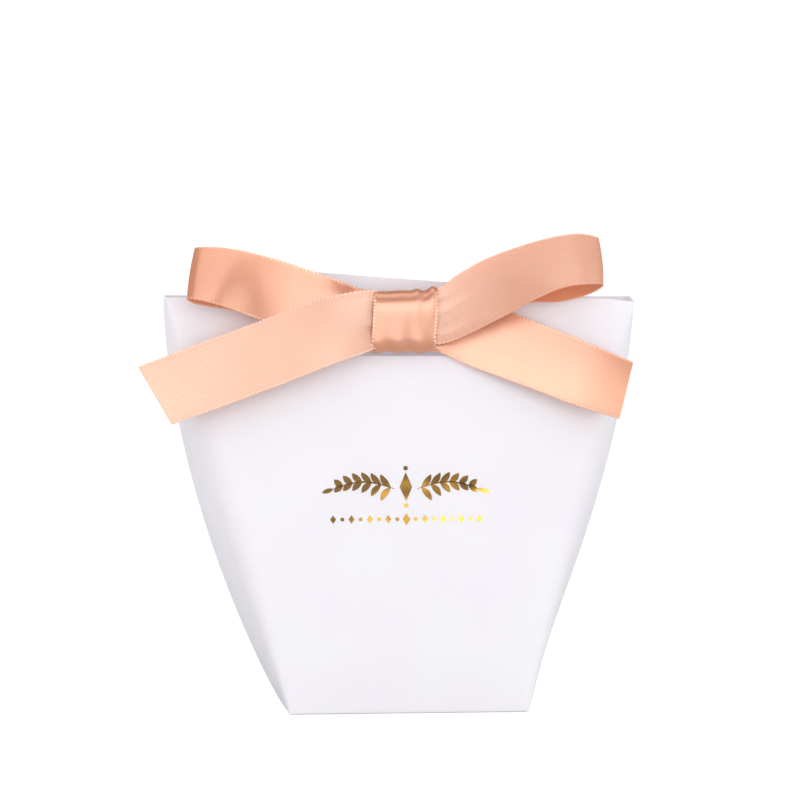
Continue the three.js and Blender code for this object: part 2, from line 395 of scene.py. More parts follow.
def satin_material():
    """Peach satin: long floats that mirror light in bands across it, a grainy weave with painted glints, a
    picot edge.

    The attribute weave holds millimetres across the ribbon from its middle, millimetres along it, and the
    side: positive on the glossy face and negative on the back, with a size of 1 where the painted glints on
    the weave's dots hardly show and 2 where they show most. The highlight is stretched across the ribbon, at
    right angles to the floats.
    """
    n = Nodes(bpy.data.materials.new("peach_satin"))
    weave = n.add("ShaderNodeAttribute", attribute_name="weave").outputs["Vector"]
    parts = n.add("ShaderNodeSeparateXYZ", {"Vector": weave}).outputs
    across, along, side = parts["X"], parts["Y"], parts["Z"]
    back = n.between(side, 0.4, -0.4)

    floats = n.noise(n.scaled(weave, (5.2, 0.16, 0.0)), 1.0, 3.0, 0.7)
    picks = n.noise(n.scaled(weave, (0.22, 4.6, 0.0)), 1.0, 2.0, 0.6)
    uneven = n.noise(n.scaled(weave, (0.8, 0.8, 0.0)), 1.0, 1.0)
    sway = n.math("MULTIPLY", n.noise(n.scaled(weave, (0.5, 1.7, 0.0)), 1.0, 1.0), 4.5)
    shift = n.math("MULTIPLY", uneven, 7.0)
    rows = n.math("COSINE", n.math("MULTIPLY_ADD", across, 2 * math.pi / DOT_ROWS, shift))
    stagger = n.math("COSINE", n.math("MULTIPLY_ADD", along, 2 * math.pi / DOT_PITCH, sway))
    dots = n.math("MULTIPLY_ADD", n.math("MULTIPLY", rows, stagger), 0.5, 0.5)
    # Patches where the painted glints on the weave's dots show, more where the weave's size nears 2
    glint_patches = n.between(n.noise(n.scaled(weave, (0.13, 0.1, 0.0)), 1.0, 1.0), 0.3, 0.7)
    woven = n.math("SUBTRACT", n.math("ABSOLUTE", side), 1.15)
    glint_patches = n.math("MULTIPLY_ADD", glint_patches, 0.3, woven, clamp=True)
    grain = n.noise(n.scaled(weave, (2.4, 2.4, 0.0)), 1.0, 2.0, 0.6)

    face = n.mix(n.between(floats, 0.3, 0.7), *GLOSSY_TONES)
    # Painted glints: a highlight colour on the glossy face's dots, in patches
    glints = n.math("MULTIPLY", n.between(dots, 0.55, 0.95), n.math("MULTIPLY_ADD", glint_patches, 0.6, 0.02))
    face = n.mix(glints, face, GLOSSY_GLINT)
    # Painted glints on the back's dots, in patches
    back_glints = n.math("MULTIPLY", n.between(dots, 0.45, 0.85), n.math("MULTIPLY_ADD", glint_patches, 0.85, 0.1))
    dull = n.mix(back_glints, BACK_TONE, BACK_GLINT)
    dull = n.mix(n.math("MULTIPLY", n.between(grain, 0.35, 0.7), 0.5), dull, BACK_GRAIN)
    color = n.mix(back, face, dull)

    from_edge = n.math("SUBTRACT", RIBBON_WIDTH / 2, n.math("ABSOLUTE", across))
    bead = n.math("COSINE", n.math("MULTIPLY", along, 2 * math.pi / BEAD_PITCH))
    bead = n.math("MULTIPLY_ADD", bead, 0.5, 0.5)
    edge = n.math("MULTIPLY", n.between(from_edge, 0.8, 0.4), n.between(bead, 0.35, 0.8))
    color = n.mix(n.math("MULTIPLY", edge, 0.6), color, PICOT_TONE)
    groove = n.math("MULTIPLY", n.between(from_edge, 1.15, 0.85), n.between(from_edge, 0.6, 0.85))
    color = n.mix(n.math("MULTIPLY", groove, 0.4), color, GROOVE_TONE)

    relief = n.math("MULTIPLY", dots, n.math("MULTIPLY_ADD", back, 0.5, 0.12))
    relief = n.math("ADD", relief, n.math("MULTIPLY", floats, 0.15))
    relief = n.math("ADD", relief, n.math("MULTIPLY", picks, 0.05))
    normal = n.bump(relief, 0.00004)
    n.put(n.math("MULTIPLY_ADD", back, 0.14, 0.3), n.shader.inputs["Roughness"])
    n.put(n.math("MULTIPLY_ADD", back, -0.3, 0.8), n.shader.inputs["Anisotropic"])
    n.put(n.math("MULTIPLY_ADD", back, -0.15, 0.32), n.shader.inputs["Metallic"])
    threads = n.add("ShaderNodeTangent", direction_type="UV_MAP", uv_map="threads")
    n.put(threads.outputs[0], n.shader.inputs["Tangent"])
    n.finish(color, normal, specular_ior_level=1.0, ior=1.95)
    through = n.add("ShaderNodeBsdfTranslucent", {"Color": THROUGH_TONE, "Normal": normal})
    return n.let_through(SATIN_THROUGH, through)


def foil_material():
    """Gold foil stamped on board: polished, finely grained, with a painted reflection in its colour that runs
    from dark bronze at the left to bright gold.
    """
    n = Nodes(bpy.data.materials.new("gold_foil"))
    place = n.add("ShaderNodeTexCoord").outputs["Object"]
    # Painted reflection: the base colour sweeps from dark bronze to bright gold across x, broken by noise
    run = n.noise(n.scaled(place, (1.0, 0.4, 1.6)), 70.0, 1.0)
    across = n.add("ShaderNodeSeparateXYZ", {0: place}).outputs["X"]
    run = n.math("MULTIPLY_ADD", across, 11.0, run)
    tone = n.mix(n.between(run, 0.42, 0.8), srgb(80, 60, 34), srgb(218, 168, 70))
    grain = n.bump(n.noise(place, 1800.0, 2.0), 0.00002)
    return n.finish(tone, grain, metallic=1.0, roughness=0.24)


paper = board_material()
satin = satin_material()
foil = foil_material()


# The bag's walls

def slot_warp(x, v):
    """Bends a grid so that a rectangle's ends become half circles.

    Near each end of the slot a point at Chebyshev distance m from the end's middle, in radii, moves to Euclid
    distance m, which turns a square ring into a round one, and the move dies out at WARP_REACH radii.
    """
    radius = SLOT_HEIGHT / 2
    middle = SLOT_FOOT + radius
    reach = SLOT_WIDTH / 2 - radius
    p = (np.abs(x) - reach) / radius
    q = (v - middle) / radius
    square = np.maximum(np.abs(p), np.abs(q))
    euclid = np.maximum(np.hypot(p, q), 1e-6)
    share = np.clip((WARP_REACH - square) / (WARP_REACH - 1), 0, 1) * (p > 0) * (square >= 0.999)
    share = share * np.clip(2.0 - np.abs(q), 0, 1)
    grow = (1 + share * (square / euclid - 1)) * radius
    return np.where(p > 0, np.sign(x) * (reach + p * grow), x), np.where(p > 0, middle + q * grow, v)


def panel_swell(x, v):
    """How far a large panel stands out of its plane: a low pillow and two long soft waves."""
    rise = np.clip(v / SLANT, 0, 1)
    pillow = PANEL_PILLOW * (1 - (x / half_width(v * COS_LEAN)) ** 2)
    wave = PANEL_WAVE * np.sin(x / 17 + v / 41)
    return (pillow + wave) * np.sin(math.pi * rise) + PANEL_RIPPLE * np.sin(x / 9.5 - v / 23) * rise


def side_offset(y, z):
    """How far a side stands out of the straight line between its creases at depth y and height z.

    Across it is mostly a quarter sine from each crease to the soft fold in the middle. Upwards it is a blunt
    parabola, plus a little at the foot that dies out as a fifth power.
    """
    q = 1 - np.abs(y) / half_depth(z)
    fold = 0.85 * np.sin(q * math.pi / 2) + 0.15 * q
    rise = z / BAG_HEIGHT
    low = FOOT_BULGE * np.clip(1 - rise, 0, 1) ** 5
    return (SIDE_BULGE * np.clip(4 * rise * (1 - rise), 0, 1) ** 0.87 + low) * fold


def crease_reach(z):
    """How far a crease's round end reaches into each wall: sharp at the base and the mouth, soft between."""
    rise = np.clip(z / BAG_HEIGHT, 0, 1)
    return CREASE_SHARP + CREASE_SOFT * np.sin(math.pi * rise) ** 0.8


def wall_rows():
    """Heights up the slant, with rows on the slot's two edges."""
    return stepped((WALL_START, 4, 4), (4, SLOT_FOOT, 66), (SLOT_FOOT, SLOT_TOP, 16), (SLOT_TOP, SLANT, 8))


def quarter(v):
    """A quarter of the walls in section, from the front's middle round its right crease to the side's fold.

    Returns x and y for each row: columns are fixed in x as far as the slot reaches, then a share of the
    width, then a parabola round the crease, then equal steps across half the side.
    """
    z = v * COS_LEAN
    wide, deep, reach = half_width(z), half_depth(z), crease_reach(z)
    slot_end = SLOT_WIDTH / 2
    straight = slot_end - SLOT_HEIGHT / 2
    inner = stepped((0, straight, SLOT_COLUMNS), (straight, slot_end, SLOT_END_COLUMNS))
    fixed = np.broadcast_to(inner, (len(v), len(inner)))
    share = np.linspace(0, 1, PANEL_COLUMNS + 1)[1:]
    outer = slot_end + (wide - reach - slot_end)[:, None] * share
    flat_x = np.concatenate([fixed, outer], 1)
    flat_y = np.broadcast_to(-deep[:, None], flat_x.shape)

    side_y = -(deep - reach)
    start = np.stack([wide - reach, -deep], -1)[:, None]
    corner = np.stack([wide, -deep], -1)[:, None]
    end = np.stack([wide + side_offset(side_y, z), side_y], -1)[:, None]
    u = np.linspace(0, 1, CREASE_COLUMNS + 2)[None, 1:-1, None]
    bend = (1 - u) ** 2 * start + 2 * u * (1 - u) * corner + u ** 2 * end

    across_y = side_y[:, None] * np.linspace(1, 0, SIDE_COLUMNS + 1)
    across_x = wide[:, None] + side_offset(across_y, z[:, None])
    fold = SIDE_FOLD_DEPTH * bell(across_y, SIDE_FOLD_WIDTH)
    across_x = across_x - fold * np.sin(math.pi * z / BAG_HEIGHT)[:, None]
    x = np.concatenate([flat_x, bend[..., 0], across_x], 1)
    y = np.concatenate([flat_y, bend[..., 1], across_y], 1)
    return x, y


def walls():
    """The folded tube of board: four quarters in section, a slot front and back, and a foot turned under."""
    v = wall_rows()
    x, y = quarter(v)
    slot_end = SLOT_COLUMNS + SLOT_END_COLUMNS
    flat = slot_end + 1 + PANEL_COLUMNS
    x = np.concatenate([x, x[:, -2::-1], -x[:, 1:], -x[:, -2:0:-1]], 1)
    y = np.concatenate([y, -y[:, -2::-1], -y[:, 1:], y[:, -2:0:-1]], 1)
    rows = np.broadcast_to(v[:, None], x.shape)

    columns = x.shape[1]
    half = columns // 2
    number = np.arange(columns)
    on_panel = (np.minimum(number, columns - number) < flat) | (np.abs(number - half) < flat)
    warped_x, warped_v = slot_warp(x, rows)
    x = np.where(on_panel, warped_x, x)
    up = np.where(on_panel, warped_v, rows)
    y = np.where(on_panel, half_depth(up * COS_LEAN) * np.sign(y), y)

    swell = np.where(on_panel, panel_swell(x, up), 0)
    y = y + np.sign(y) * swell * COS_LEAN
    dent = DENT_DEPTH * bell(x - TOP_WIDTH / 2, DENT_WIDTH) * bell(up - SLANT, DENT_HEIGHT)
    z = up * COS_LEAN + swell * SIN_LEAN - dent * np.clip(-y / 3, 0, 1)
    points = np.stack([x, y, z], -1)

    middle = (number + 0.5) % columns
    level = (v[:-1] + v[1:]) / 2
    slot_rows = (level > SLOT_FOOT) & (level < SLOT_TOP)
    slot_columns = (np.minimum(middle, columns - middle) < slot_end) | (np.abs(middle - half) < slot_end)
    keep = ~(slot_rows[:, None] & slot_columns[None, :])

    foot = foot_rows(points[0])
    points = np.concatenate([foot, points], 0)
    keep = np.concatenate([np.ones((len(foot), columns), bool), keep], 0)
    both, faces = shell_of(points, BOARD, closed=True, keep=keep, start=1, end=0)
    sides = [f"{side}_side_{part}" for side in ("left", "right") for part in ("front", "back")]
    piece("board_walls", both, faces, paper, replaces=["front_panel", "back_panel", *sides])


def foot_rows(first):
    """The foot below the first row: the sides and the back turn under in a quarter circle.

    The front panel is a raw edge there, so it goes straight down.
    """
    x, y = first[:, 0], first[:, 1]
    is_front = y < -half_depth(0.0) + FOOT_CORNER
    is_back = y > half_depth(0.0) - FOOT_CORNER
    under = np.where(is_front, 0.0, 1.0)
    low = np.where(is_front, FRONT_STANDS, np.where(is_back, BACK_STANDS, SIDES_STAND))
    inward = -np.stack([np.sign(x) * (~is_back & ~is_front), np.sign(y) * (is_back | is_front)], -1)
    rows = []
    for angle in np.radians([8, 30, 52, 75]):
        shift = FOOT_ROUND * (1 - math.sin(angle)) * under
        height = low + (first[:, 2] - low) * (1 - math.cos(angle))
        rows.append(np.stack([x + inward[:, 0] * shift, y + inward[:, 1] * shift, height], -1))
    return np.array(rows)


walls()


# The ribbon

def through(points, per_span=60):
    """A centripetal Catmull-Rom curve through the points, sampled evenly in each span."""
    points = np.asarray(points, float)
    before, after = 2 * points[0] - points[1], 2 * points[-1] - points[-2]
    padded = np.concatenate([[before], points, [after]])
    lengths = np.sqrt(np.linalg.norm(np.diff(padded, axis=0), axis=1))
    t = np.linspace(0, 1, per_span, endpoint=False)[:, None]
    spans = []
    for i in range(len(points) - 1):
        p0, p1, p2, p3 = padded[i:i + 4]
        d0, d1, d2 = lengths[i:i + 3]
        m1 = ((p1 - p0) / d0 - (p2 - p0) / (d0 + d1) + (p2 - p1) / d1) * d1
        m2 = ((p2 - p1) / d1 - (p3 - p1) / (d1 + d2) + (p3 - p2) / d2) * d1
        cubic = 2 * p1 - 2 * p2 + m1 + m2
        square = -3 * p1 + 3 * p2 - 2 * m1 - m2
        spans.append(p1 + m1 * t + square * t ** 2 + cubic * t ** 3)
    return np.concatenate([*spans, points[-1:]])


def at_lengths(line, lengths, wanted):
    """The line's points at the wanted lengths along it."""
    return np.stack([np.interp(wanted, lengths, line[:, k]) for k in range(3)], -1)


def softened(line, reach):
    """The line with each point averaged over its neighbours by a bell, its two ends kept."""
    weights = bell(np.arange(-2 * reach, 2 * reach + 1), reach)
    weights = weights / weights.sum()
    pad = 2 * reach
    head = 2 * line[0] - line[pad:0:-1]
    tail = 2 * line[-1] - line[-2:-pad - 2:-1]
    long = np.concatenate([head, line, tail])
    return np.stack([np.convolve(long[:, k], weights, "valid") for k in range(3)], -1)


def ribbon_columns():
    """Places across the ribbon from -1 to 1: close together in the woven edges, even between them."""
    edge = 1 - 1.2 / (RIBBON_WIDTH / 2)
    return stepped((-1, -edge, 6), (-edge, edge, 26), (edge, 1, 6))


def bead_of(along):
    """The picot edge's beads, from 0 to 1 and back in each pitch."""
    return 0.5 + 0.5 * np.cos(along * 2 * math.pi / BEAD_PITCH)


def selvedge(u, along):
    """How the woven edge thickens and stands out: a factor on the thickness and a shift outwards in mm."""
    from_edge = (1 - np.abs(u)) * RIBBON_WIDTH / 2
    edge = np.clip(1 - from_edge / 0.75, 0, 1)
    return 1 + 0.9 * edge * bead_of(along), 0.13 * edge * (bead_of(along) - 0.4)


def strip(name, side, rows, replaces, gloss, phase, grain, gathers=(6.0, 0.0), reach=12, curl=0.0):
    """A length of ribbon carried through stations beside the knot: returns its piece and its length.

    A station is [out, v, w, lean, tilt, share]: out is counted from the knot's edge away from it, v from the
    knot's middle, and share is the part of the width that shows. The surface is the line between its two edge
    curves, plus along the normal: a cup, 1 - u squared across; pleats that die out exponentially from each
    end held by the knot; and a slow ripple. gathers are the pleats' lengths at the start and the end, none
    where it is 0. reach is how many samples the edges are smoothed over. curl is how far the upper edge leans
    back beside the knot, as a parabola across and a bell along. grain says where painted glints on the
    weave's dots show, as pairs of a share of the length and an amount, with straight lines between. gloss is
    1 where the glossy face is outwards at the start and -1 where it is inwards.
    """
    stations = np.array([[*row, 1.0] if len(row) == 5 else row for row in rows], float)
    out, v, w, lean, tilt, share = stations.T
    lean, tilt = np.radians(lean), np.radians(tilt)
    middle = np.stack([side * (KNOT_EDGE + out), KNOT_CENTRE + v, w], -1)
    across = np.stack([np.sin(lean) * np.cos(tilt), np.cos(lean) * np.cos(tilt), np.sin(tilt)], -1)
    half = across * (share * RIBBON_WIDTH / 2)[:, None]
    upper, lower = through(middle + half), through(middle - half)

    centre = (upper + lower) / 2
    lengths = np.concatenate([[0], np.cumsum(np.linalg.norm(np.diff(centre, axis=0), axis=1))])
    count = int(round(lengths[-1] / BEAD_PITCH * BEAD_SAMPLES)) + 1
    along = np.linspace(0, lengths[-1], count)
    upper = softened(at_lengths(upper, lengths, along), reach)
    lower = softened(at_lengths(lower, lengths, along), reach)

    u = ribbon_columns()[None, :]
    s = along[:, None]
    thicker, outward = selvedge(u, s)
    centre, half = (upper + lower) / 2, (upper - lower) / 2
    half_size = np.linalg.norm(half, axis=1)
    flow = np.gradient(centre, axis=0)
    normal = np.cross(flow, half)
    normal = normal / np.linalg.norm(normal, axis=1, keepdims=True)
    if normal[0, 2] < 0:
        normal = -normal
    from_start, from_end = s, lengths[-1] - s
    waves = 0.6 * np.cos(2.7 * math.pi * u + phase) + 0.4 * np.cos(4.6 * math.pi * u + 2.1 * phase + 0.8)
    fade = sum(np.exp(-distance / size) for distance, size in zip((from_start, from_end), gathers) if size)
    lift = CUP * (1 - u ** 2) * np.clip(from_start / CUP_START, 0, 1)
    lift = lift + PLEAT_HEIGHT * waves * fade
    lift = lift + RIPPLE * np.sin(s / 5.2 + 1.7 * u + phase) * np.sin(s / 13 + phase)
    near_knot = bell(from_start - CURL_MIDDLE, CURL_REACH) - bell(from_end - CURL_MIDDLE, CURL_REACH)
    lift = lift - curl * np.clip((u - 0.1) / 0.9, 0, 1) ** 2 * near_knot
    spread = u + np.sign(u) * outward / half_size[:, None]
    points = centre[:, None] + half[:, None] * spread[..., None] + normal[:, None] * lift[..., None]
    points = on_front(points[..., 0], points[..., 1], points[..., 2])

    both, faces = shell_of(points, RIBBON_THICKNESS * thicker)
    # How much of the painted glints on the weave's dots shows along the length
    amount = 1 + np.interp(s / lengths[-1], *zip(*grain))
    woven = np.stack(np.broadcast_arrays(u * RIBBON_WIDTH / 2, s, amount), -1).reshape(-1, 3)
    outer_first = np.sum(normals_of(points)[0] * on_normal(normal[0])) > 0
    first = gloss if outer_first else -gloss
    weave = np.concatenate([woven * [1, 1, first], woven * [1, 1, -first]])
    thing = piece(name, both, faces, satin, body=None, replaces=replaces, weave=weave)
    return thing, lengths[-1]


def on_normal(normal):
    """A direction of the front wall's frame in the row frame."""
    return on_front(*normal) - on_front(0, 0, 0)


def held_by_knot(thing, body, start=None):
    """Lets a ribbon ride whole on a body, or, where start is given, bakes its place into its mesh."""
    if start is None:
        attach(thing, body)
    else:
        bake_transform(thing)


def left_tail():
    """The left end, in front of its loop, cut aslant."""
    # Where the painted glints on the weave's dots show along this length
    grain = ((0, 0.9), (0.25, 0.75), (0.42, 0.1), (0.6, 0.15), (0.75, 0.9), (1, 1))
    thing, length = strip("left_tail_ribbon", -1, [
        [-6, 0, 4.2, 2, 0, 0.7],
        [0, -1.1, 5.3, 4, -3, 0.93],
        [8.9, -3.2, 6, -7, -6],
        [18.3, -6.6, 6.8, -14, -4],
        [30.3, -11.2, 7.2, -16, -2],
        [46.9, -17.4, 7.2, -20, -3],
        [61.3, -22.8, 7.4, -29, -6],
    ], ["left_tail"], gloss=-1, phase=0.4, grain=grain)
    start, end = on_front(-9.7, KNOT_CENTRE, 5.3), on_front(-16.5, KNOT_CENTRE, 5.3)
    held_by_knot(thing, "left_end", start)


def left_loop():
    """The left loop, behind the tail: out along its front layer, round the fold and back."""
    # Where the painted glints on the weave's dots show along this length
    grain = ((0, 0.2), (0.3, 0.15), (0.36, 0.7), (0.45, 0.8), (1, 0.3))
    thing, length = strip("left_loop_ribbon", -1, [
        [-6, 0, 3.2, 2, 0, 0.7],
        [0, -0.1, 3.6, 3, -2, GATHERED],
        [17, 4, 3.1, 20, -8],
        [30.3, 8.5, 3.9, 19, -13.5],
        [43.3, 11.7, 5.6, 12, -23],
        [50.9, 12.6, 4.2, 10, -25, 0.92],
        [48.5, 12, 1.6, 12, -24, 0.96],
        [35.3, 10.5, 0.3, 17, -20],
        [20.3, 5.3, 0.9, 20, -12],
        [8.3, 2.1, 1.6, 12, -5, 0.95],
        [0, -0.1, 1.9, 3, -1, GATHERED],
        [-6, 0, 2.3, 2, 0, 0.7],
    ], ["left_loop"], gloss=1, phase=1.9, grain=grain, gathers=(6, 6), reach=7, curl=2.2)
    held_by_knot(thing, "bag")


def right_loop():
    """The right loop, in front of its tail, standing up and leaning out of the bag."""
    # Where the painted glints on the weave's dots show along this length
    grain = ((0, 0.8), (0.15, 0.6), (0.28, 0.4), (0.36, 0.9), (0.45, 1), (1, 0.4))
    thing, length = strip("right_loop_ribbon", 1, [
        [-6, 0, 4.2, -2, 0, 0.7],
        [0, 0.1, 5.1, -2, -5, GATHERED],
        [14.7, 7.6, 6.3, -19, -21],
        [23.9, 11.8, 7.5, -15, -28],
        [33.9, 15.2, 8.5, -9, -32],
        [42, 16.3, 8.3, -3, -31, 0.99],
        [47.3, 16, 5.4, 3, -30, 0.91],
        [43.9, 15.1, 2, 0, -27, 0.97],
        [34.3, 13.4, 0.9, -8, -22],
        [22.3, 11.8, 1.7, -15, -28],
        [10.3, 5.6, 3.1, -14, -17, 0.97],
        [0, 0.1, 3.6, -2, -1, GATHERED],
        [-6, 0, 3.4, -2, 0, 0.7],
    ], ["right_loop"], gloss=-1, phase=3.1, grain=grain, gathers=(6, 6), reach=7)
    start, end = on_front(9.7, KNOT_CENTRE, 4.4), on_front(18, KNOT_CENTRE, 4.4)
    held_by_knot(thing, "right_bow", start)


def right_tail():
    """The right end, coming out from under its loop."""
    # Where the painted glints on the weave's dots show along this length
    grain = ((0, 0.9), (0.12, 0.7), (0.3, 0.2), (1, 0.1))
    thing, length = strip("right_tail_ribbon", 1, [
        [-6, -0.5, 2.1, 2, 0, 0.78],
        [0, -0.8, 1.95, 3, 0, 0.9],
        [5.3, -2, 1.75, 14, 0, 0.94],
        [11.8, -4.3, 1.7, 22, -1],
        [24.3, -9.4, 2.4, 23.5, -5.5],
        [31, -12.1, 3, 24, -7.5],
        [41.6, -16.6, 4.3, 25, -9],
        [53.3, -21.2, 6, 18, -19],
    ], ["right_tail_root", "right_tail"], gloss=1, phase=4.4, grain=grain)
    start, end = on_front(31, KNOT_CENTRE - 8.2, 2.2), on_front(38, KNOT_CENTRE - 11, 2.8)
    held_by_knot(thing, "right_end", start)


def ring(name, width, middle, half_v, half_w, power, replaces, crumple, skew=0.0):
    """A turn of ribbon in the v-w plane, carried along x and leant aside by skew for each step up.

    Its section is a superellipse round the middle (v, w), and crumple(u, angle) moves each point out.
    """
    angle = np.linspace(-math.pi / 2, 1.5 * math.pi, RING_COLUMNS, endpoint=False)[None, :]
    u = ribbon_columns()[:, None]
    c, s = np.cos(angle), np.sin(angle)
    v = np.sign(c) * np.abs(c) ** (2 / power)
    w = np.sign(s) * np.abs(s) ** (2 / power)
    push = crumple(u, angle)
    point_v = middle[0] + v * (half_v + push)
    point_w = middle[1] + w * (half_w + push)
    round_line = np.stack([point_v[len(u) // 2], point_w[len(u) // 2]], -1)
    steps = np.linalg.norm(np.diff(round_line, axis=0, append=round_line[:1]), axis=1)
    along = np.concatenate([[0], np.cumsum(steps)[:-1]])[None, :]
    turns = round(steps.sum() / BEAD_PITCH)
    along = along / steps.sum() * turns * BEAD_PITCH
    thicker, outward = selvedge(u, along)
    x = u * width / 2 + np.sign(u) * outward + skew * (point_v - middle[0])
    points = on_front(x, point_v, point_w)
    both, faces = shell_of(points, RIBBON_THICKNESS * thicker, closed=True)
    woven = np.stack(np.broadcast_arrays(u * RIBBON_WIDTH / 2, along, RING_WEAVE), -1).reshape(-1, 3)
    weave = np.concatenate([woven, woven])
    thing = piece(name, both, faces, satin, replaces=replaces, weave=weave)


def knot():
    """The knot's outer turn: full in front, pinched into small folds over its top and under its foot."""
    def crumple(u, angle):
        top, foot = bell(np.sin(angle / 2), 0.42), bell(np.cos(angle / 2), 0.42)
        bumps = 0.8 * bell(u - 0.36, 0.13) + 1.3 * bell(u - 0.84, 0.16)
        over = 0.14 * np.cos(6 * u + 0.6) - 1.5 + bumps
        under = 0.3 * np.cos(9.5 * u + 1.1) + 0.75
        front = 0.35 * np.clip(np.sin(angle), 0, 1) * (1 - u ** 2)
        return top * over + foot * under + front

    middle = (KNOT_CENTRE, KNOT_BACK + KNOT_DEPTH / 2)
    half_v, half_w = KNOT_HEIGHT / 2 - 0.15, KNOT_DEPTH / 2 - 0.15
    ring("knot_ribbon", KNOT_WIDTH, middle, half_v, half_w, 2.3, ["knot_band"], crumple, skew=0.07)


def knot_layers():
    """The crushed layers inside the knot: one length folded to and fro.

    A profile in v and w goes up, round a half circle, down, round another and up again, carried along x, plus
    waves across the ribbon that take up the width which the knot gathers.
    """
    rise, gap, first = 6.4, 1.35, KNOT_BACK + 1.15
    up = np.linspace(-rise, rise, 22)
    level = np.full(len(up), first)
    bend = np.linspace(-math.pi / 2, math.pi / 2, 10)[1:-1]
    v = np.concatenate([up, rise + gap / 2 * np.cos(bend), up[::-1], -rise - gap / 2 * np.cos(bend), up])
    w = np.concatenate([
        level, first + gap / 2 * (1 + np.sin(bend)), level + gap,
        first + gap * 1.5 + gap / 2 * np.sin(bend), level + 2 * gap])
    steps = np.hypot(np.diff(v), np.diff(w))
    along = np.concatenate([[0], np.cumsum(steps)])[:, None]
    u = np.linspace(-1, 1, 61)[None, :]
    half = KNOT_WIDTH / 2 - 0.6
    wave = 0.42 * np.sin(u * 12.5 + 0.08 * along) + 0.1 * np.sin(u * 5 + 0.3 * along)
    points = on_front(u * half, KNOT_CENTRE + v[:, None] + 0 * u, w[:, None] + wave)
    both, faces = shell_of(points, RIBBON_THICKNESS)
    woven = np.stack(np.broadcast_arrays(u * RIBBON_WIDTH / 2, along, 1.0), -1).reshape(-1, 3)
    weave = np.concatenate([woven, woven])
    thing = piece("knot_layers", both, faces, satin, replaces=["knot_core"], weave=weave)


def wrap():
    """The turn round the strip of board over the slot, gathered a little."""
    def crumple(u, angle):
        return 0.08 * np.cos(8 * u + 0.5) + 0.05 * np.cos(3 * angle + 4 * u) - 0.08

    middle = ((SLOT_TOP + SLANT) / 2, -BOARD / 2)
    half_v = SLOT_BELOW_TOP / 2 + 0.6
    ring("wrap_ribbon", WRAP_WIDTH, middle, half_v, BOARD / 2 + 0.6, 3.4, ["ribbon_wrap"], crumple)


left_tail()
left_loop()
right_loop()
right_tail()
knot()
knot_layers()
wrap()


# The closing tab

def closing_tab():
    """The tab on the back wall's top edge, creased along its foot, its top edge aslant and corners rounded.

    Columns run across it, and rows share out the height between its foot and its top line at each column.
    """
    end = TAB_WIDTH / 2
    flat = end - TAB_CORNER
    x = stepped((-end, -flat, 10), (-flat, 0, 30), (0, flat, 30), (flat, end, 10))[None, :]
    share = (x + end) / TAB_WIDTH
    top = TAB_RISE_LEFT + (TAB_RISE_RIGHT - TAB_RISE_LEFT) * share
    inside = np.clip(1 - (end - np.abs(x)) / TAB_CORNER, 0, 1)
    top = top - TAB_CORNER * (1 - np.sqrt(1 - inside ** 2)) * np.where(x < 0, 1, 0.5)
    rise = np.linspace(0, 1, 14)[:, None]
    v = SLANT - TAB_OVERLAP + (top + TAB_OVERLAP) * rise
    w = 0.12 * np.sin(x / 11 + 0.5) * rise ** 2
    both, faces = shell_of(on_back(x, v, w), BOARD)
    thing = piece("tab_board", both + HALF_BOARD_IN, faces, paper, body=None, replaces=["closing_tab"])
    start, end = on_back(0.0, SLANT, -BOARD / 2), on_back(0.0, SLANT + 1.2, -BOARD / 2)
    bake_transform(thing)


closing_tab()


# The base and the seam

def base_board():
    """The base, creased up at the front into the tongue that is tucked behind the front panel.

    Its outer face is a profile in y and z, from the back crease along the base, round a quarter ellipse and
    up the inside of the front panel, carried across the width, which narrows to the tongue's own with cut
    corners.
    """
    back = BASE_DEPTH / 2 - CREASE_INSET
    turn = -BASE_DEPTH / 2 + 1.35
    flat_y = np.linspace(back, turn, 40)
    top = TUCK_LENGTH + 1.9
    up = np.linspace(1.0, top, 24)
    rise = on_front(0.0, up, TUCK_W)
    angle = np.linspace(0, math.pi / 2, 9)[1:-1]
    bend_y = turn + (rise[0, 1] - turn) * np.sin(angle)
    bend_z = rise[0, 2] * (1 - np.cos(angle))
    y = np.concatenate([flat_y, bend_y, rise[:, 1]])
    z = np.concatenate([np.zeros(len(flat_y)), bend_z, rise[:, 2]])
    foot = BASE_WIDTH / 2 - TUCK_INSET
    tongue = foot - TUCK_INSET * np.clip((up - top + TUCK_LENGTH / 2) / (TUCK_LENGTH / 2), 0, 1)
    wide = np.full(len(flat_y) + 2, BASE_WIDTH / 2 - 0.2)
    half = np.concatenate([wide, np.full(len(bend_y) - 2, foot), tongue])
    across = np.linspace(-1, 1, 33)[None, :]
    deep = np.clip((y + BASE_DEPTH / 2) / BASE_DEPTH, 0, 1)
    sag = 0.25 * (1 - across ** 2) * np.sin(math.pi * deep)[:, None]
    x = half[:, None] * across
    points = np.stack([x, np.broadcast_to(y[:, None], x.shape), z[:, None] + sag], -1)
    both, faces = shell_of(points, BOARD, start=1, end=0)
    piece("base_board", both, faces, paper, replaces=["base_panel", "tuck_flap"])


def dust_flap(name, side):
    """A flap folded in from the foot of one side over the base, narrow at its tip and bowed up a little."""
    edge = BASE_WIDTH / 2 - CREASE_INSET
    across = np.linspace(0, 1, 24)[:, None]
    along = np.linspace(-1, 1, 25)[None, :]
    reach = BASE_DEPTH / 2 - 1.1 - DUST_TAPER * across
    x = side * (edge - DUST_LENGTH * across) + 0 * along
    y = reach * along
    z = 0.72 + 0.5 * np.sin(math.pi / 2 * across) * (1 - 0.3 * along ** 2) - 0.22 * (1 - across) ** 8
    both, faces = shell_of(np.stack([x, y, z], -1), BOARD, start=0, end=1)
    both = both + [0, 0, max(0.0, DUST_ABOVE_BASE - both[:, 2].min())]
    piece(f"{name}_dust_board", both, faces, paper, replaces=[f"{name}_dust_flap"])


